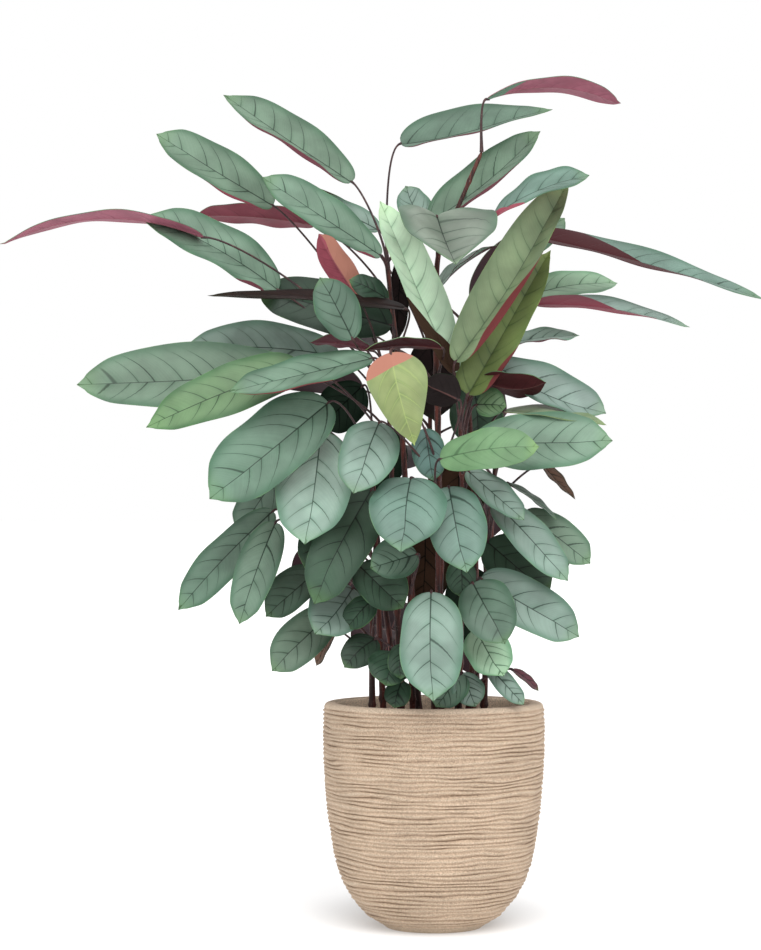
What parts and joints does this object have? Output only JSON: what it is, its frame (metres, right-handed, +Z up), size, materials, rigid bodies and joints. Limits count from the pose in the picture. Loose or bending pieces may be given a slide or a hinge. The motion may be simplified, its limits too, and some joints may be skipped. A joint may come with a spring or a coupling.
{
  "type": "potted calathea plant",
  "caption": "Tall leafy prayer plant with silver-green, dark-veined leaves on red-brown canes, standing in soil in an egg-shaped planter with fine wavy ribs.",
  "frame": {"origin": "middle of the planter's flat foot, on the surface it stands on", "axes": "+Z up along the planter's axis; -Y towards the viewer of the front"},
  "size_m": [1.178, 0.7104, 1.3257],
  "materials": {
    "planter": "matt sandy beige with fine wavy ribs",
    "soil": "moist crumbly potting soil",
    "leaf": "satin silver-green leaf with dark veins, wine red underneath, red-brown cane"
  },
  "bodies": {
    "root": {"planter": "planter", "soil": "soil", "leafy_stem_01": "leaf", "leafy_stem_02": "leaf", "leafy_stem_03": "leaf", "leafy_stem_04": "leaf", "leafy_stem_05": "leaf", "leafy_stem_06": "leaf", "leafy_stem_07": "leaf", "leafy_stem_08": "leaf", "leafy_stem_09": "leaf", "leafy_stem_10": "leaf", "leafy_stem_11": "leaf", "leafy_stem_12": "leaf", "leafy_stem_13": "leaf", "leafy_stem_14": "leaf", "leafy_stem_15": "leaf"}
  },
  "joints": []
}
